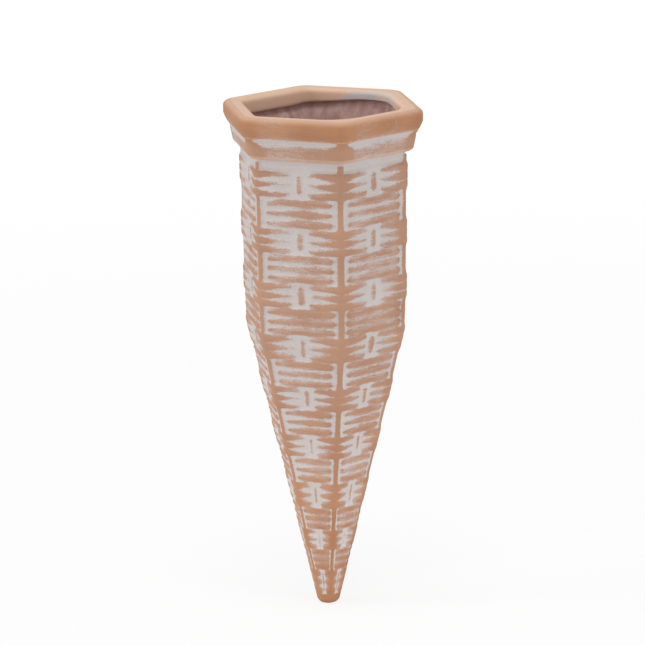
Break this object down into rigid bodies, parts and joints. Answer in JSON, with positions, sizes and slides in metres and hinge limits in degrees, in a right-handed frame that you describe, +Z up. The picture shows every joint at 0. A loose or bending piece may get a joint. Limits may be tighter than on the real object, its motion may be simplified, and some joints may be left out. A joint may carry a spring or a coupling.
{
  "type": "self watering spike",
  "caption": "Hollow six-sided fired clay watering spike with a rolled rim, collar and basket-weave relief, tapering to a blunt tip, for feeding a potted plant from an upturned bottle.",
  "frame": {"origin": "on the axis at the soil line, the underside of the collar", "axes": "+Z up along the axis towards the open rim, +X square to one of the six flats, +Y through a corner"},
  "size_m": [0.0636, 0.0718, 0.178],
  "materials": {
    "terracotta": "unglazed fired clay, matt, with white slip left in the hollows of the weave"
  },
  "bodies": {
    "root": {"terracotta_spike": "terracotta"}
  },
  "joints": []
}
